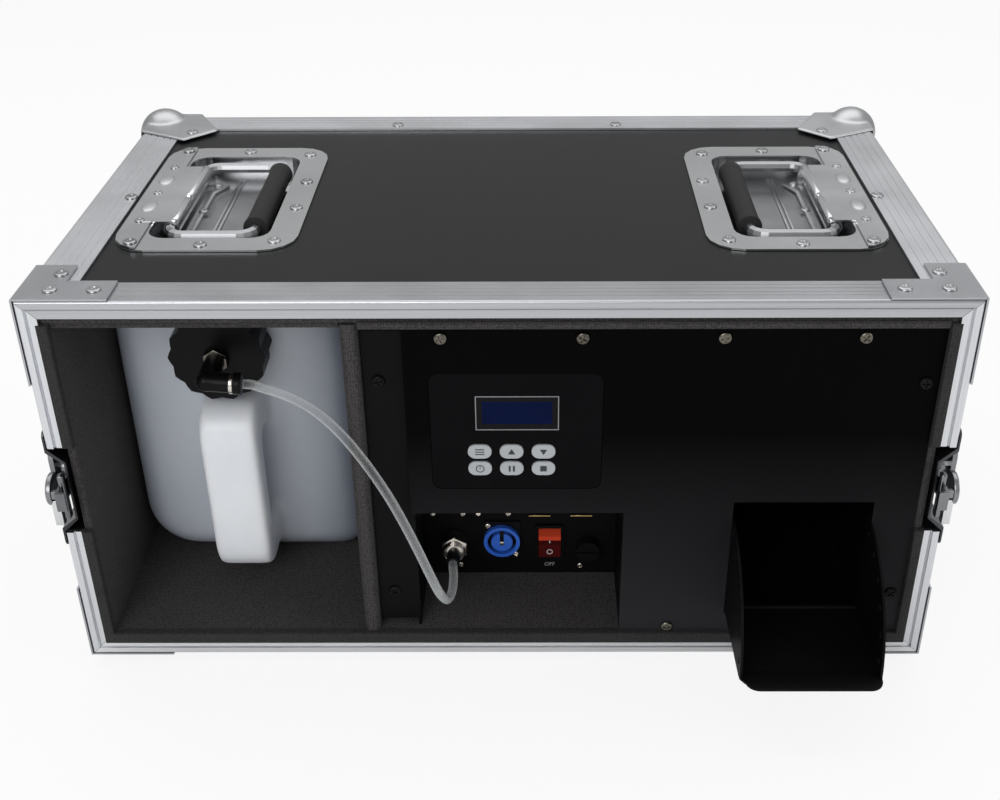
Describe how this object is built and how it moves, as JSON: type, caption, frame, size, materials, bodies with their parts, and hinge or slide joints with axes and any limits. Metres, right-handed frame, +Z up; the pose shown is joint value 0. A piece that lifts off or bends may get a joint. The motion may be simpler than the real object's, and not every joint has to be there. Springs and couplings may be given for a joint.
{
  "type": "fog machine",
  "caption": "Fog machine built into a flight case, with fluid can, control panel, connector recess, tilt-out outlet hopper, sprung carry handles and butterfly latches.",
  "frame": {"origin": "centre of the footprint, at the soles of the feet", "axes": "+X to the right seen from the open front, -Y out of the open front, +Z up"},
  "size_m": [0.567, 0.4, 0.277],
  "materials": {
    "laminate": "black laminate on plywood",
    "lining": "charcoal foam lining",
    "aluminium_edge": "extruded, mill finish",
    "zinc_steel": "zinc plated pressed steel",
    "rubber": "moulded black rubber",
    "can_plastic": "milky blow-moulded polyethylene",
    "black_plastic": "moulded black plastic",
    "nickel": "nickel plated brass",
    "clear_tube": "clear flexible tube",
    "black_steel": "fine black powder coat",
    "grey_keys": "satin grey keys",
    "red_rocker": "translucent red rocker",
    "blue_inlet": "blue locking inlet",
    "cast_aluminium": "bare cast heater block"
  },
  "bodies": {
    "case": {"case_top_panel": "laminate", "case_bottom_panel": "laminate", "case_left_panel": "laminate", "case_right_panel": "laminate", "case_back_panel": "laminate", "foam_lining": "lining", "padded_divider": "lining", "edge_top_left": "aluminium_edge", "edge_top_right": "aluminium_edge", "edge_bottom_left": "aluminium_edge", "edge_bottom_right": "aluminium_edge", "edge_back_left": "aluminium_edge", "edge_back_right": "aluminium_edge", "edge_back_top": "aluminium_edge", "edge_back_bottom": "aluminium_edge", "frame_top": "aluminium_edge", "frame_bottom": "aluminium_edge", "frame_left_upper": "aluminium_edge", "frame_left_lower": "aluminium_edge", "frame_right_upper": "aluminium_edge", "frame_right_lower": "aluminium_edge", "ball_corner_top_left": "zinc_steel", "ball_corner_top_right": "zinc_steel", "ball_corner_bottom_left": "zinc_steel", "ball_corner_bottom_right": "zinc_steel", "handle_left_dish": "zinc_steel", "handle_right_dish": "zinc_steel", "handle_left_hinge_cover": "zinc_steel", "handle_right_hinge_cover": "zinc_steel", "latch_left_dish": "zinc_steel", "latch_right_dish": "zinc_steel", "fluid_can": "can_plastic", "control_panel": "black_plastic", "fluid_pump": "black_plastic", "cap_elbow": "nickel", "bulkhead_fitting": "nickel", "fluid_tube": "clear_tube", "machine_chassis": "black_steel", "front_cover": "black_steel", "power_inlet": "blue_inlet", "heater_block": "cast_aluminium"},
    "handle_left": {"handle_left_bail": "zinc_steel", "handle_left_grip": "rubber"},
    "handle_right": {"handle_right_bail": "zinc_steel", "handle_right_grip": "rubber"},
    "latch_left_key": {"latch_left_wing": "zinc_steel"},
    "latch_left_hook": {"latch_left_hook": "zinc_steel"},
    "latch_right_key": {"latch_right_wing": "zinc_steel"},
    "latch_right_hook": {"latch_right_hook": "zinc_steel"},
    "key_1": {"key_1": "grey_keys"},
    "key_2": {"key_2": "grey_keys"},
    "key_3": {"key_3": "grey_keys"},
    "key_4": {"key_4": "grey_keys"},
    "key_5": {"key_5": "grey_keys"},
    "key_6": {"key_6": "grey_keys"},
    "rocker": {"power_rocker": "red_rocker"},
    "hopper": {"outlet_hopper": "black_steel"},
    "cap": {"can_cap": "black_plastic"},
    "fan": {"fan_rotor": "black_plastic"},
    "fuse_cap": {"fuse_cap": "black_plastic"}
  },
  "joints": [
    {"name": "handle_left_lift", "type": "hinge", "parent": "case", "child": "handle_left", "pos_m": [-0.21215, 0.03296, 0.26695], "axis": [0, -1, 0], "range_deg": [0, 90], "stiffness_Nm_per_rad": 0.12, "springref_deg": -20.05},
    {"name": "handle_right_lift", "type": "hinge", "parent": "case", "child": "handle_right", "pos_m": [0.21215, 0.03296, 0.26695], "axis": [0, 1, 0], "range_deg": [0, 90], "stiffness_Nm_per_rad": 0.12, "springref_deg": -20.05},
    {"name": "latch_left_turn", "type": "hinge", "parent": "case", "child": "latch_left_key", "pos_m": [-0.275, -0.09804, 0.1406], "axis": [-1, 0, 0], "range_deg": [0, 180]},
    {"name": "latch_left_draw", "type": "slide", "parent": "case", "child": "latch_left_hook", "axis": [0, 1, 0], "range_m": [0, 0.0081]},
    {"name": "latch_right_turn", "type": "hinge", "parent": "case", "child": "latch_right_key", "pos_m": [0.275, -0.09804, 0.1406], "axis": [1, 0, 0], "range_deg": [0, 180]},
    {"name": "latch_right_draw", "type": "slide", "parent": "case", "child": "latch_right_hook", "axis": [0, 1, 0], "range_m": [0, 0.0081]},
    {"name": "key_1_press", "type": "slide", "parent": "case", "child": "key_1", "axis": [0, 1, 0], "range_m": [0, 0.0006], "stiffness_N_per_m": 600},
    {"name": "key_2_press", "type": "slide", "parent": "case", "child": "key_2", "axis": [0, 1, 0], "range_m": [0, 0.0006], "stiffness_N_per_m": 600},
    {"name": "key_3_press", "type": "slide", "parent": "case", "child": "key_3", "axis": [0, 1, 0], "range_m": [0, 0.0006], "stiffness_N_per_m": 600},
    {"name": "key_4_press", "type": "slide", "parent": "case", "child": "key_4", "axis": [0, 1, 0], "range_m": [0, 0.0006], "stiffness_N_per_m": 600},
    {"name": "key_5_press", "type": "slide", "parent": "case", "child": "key_5", "axis": [0, 1, 0], "range_m": [0, 0.0006], "stiffness_N_per_m": 600},
    {"name": "key_6_press", "type": "slide", "parent": "case", "child": "key_6", "axis": [0, 1, 0], "range_m": [0, 0.0006], "stiffness_N_per_m": 600},
    {"name": "power_switch", "type": "hinge", "parent": "case", "child": "rocker", "pos_m": [0.0306, -0.06304, 0.053], "axis": [-1, 0, 0], "range_deg": [0, 22]},
    {"name": "hopper_tilt", "type": "hinge", "parent": "case", "child": "hopper", "pos_m": [0.1882, -0.12304, 0.0425], "axis": [-1, 0, 0], "range_deg": [0, 87.25]},
    {"name": "cap_turn", "type": "hinge", "parent": "case", "child": "cap", "pos_m": [-0.1807, -0.06804, 0.2014], "axis": [0, -1, 0], "range_deg": [0, 450]},
    {"name": "fan_spin", "type": "hinge", "parent": "case", "child": "fan", "pos_m": [0.1882, 0.08946, 0.0732], "axis": [0, 1, 0], "continuous": true},
    {"name": "fuse_cap_turn", "type": "hinge", "parent": "case", "child": "fuse_cap", "pos_m": [0.057, -0.0634, 0.049], "axis": [0, -1, 0], "range_deg": [0, 60]}
  ],
  "couplings": [
    {"joint": "latch_left_draw", "follows": "latch_left_turn", "m_per_rad": 0.0025464},
    {"joint": "latch_right_draw", "follows": "latch_right_turn", "m_per_rad": 0.0025464}
  ]
}
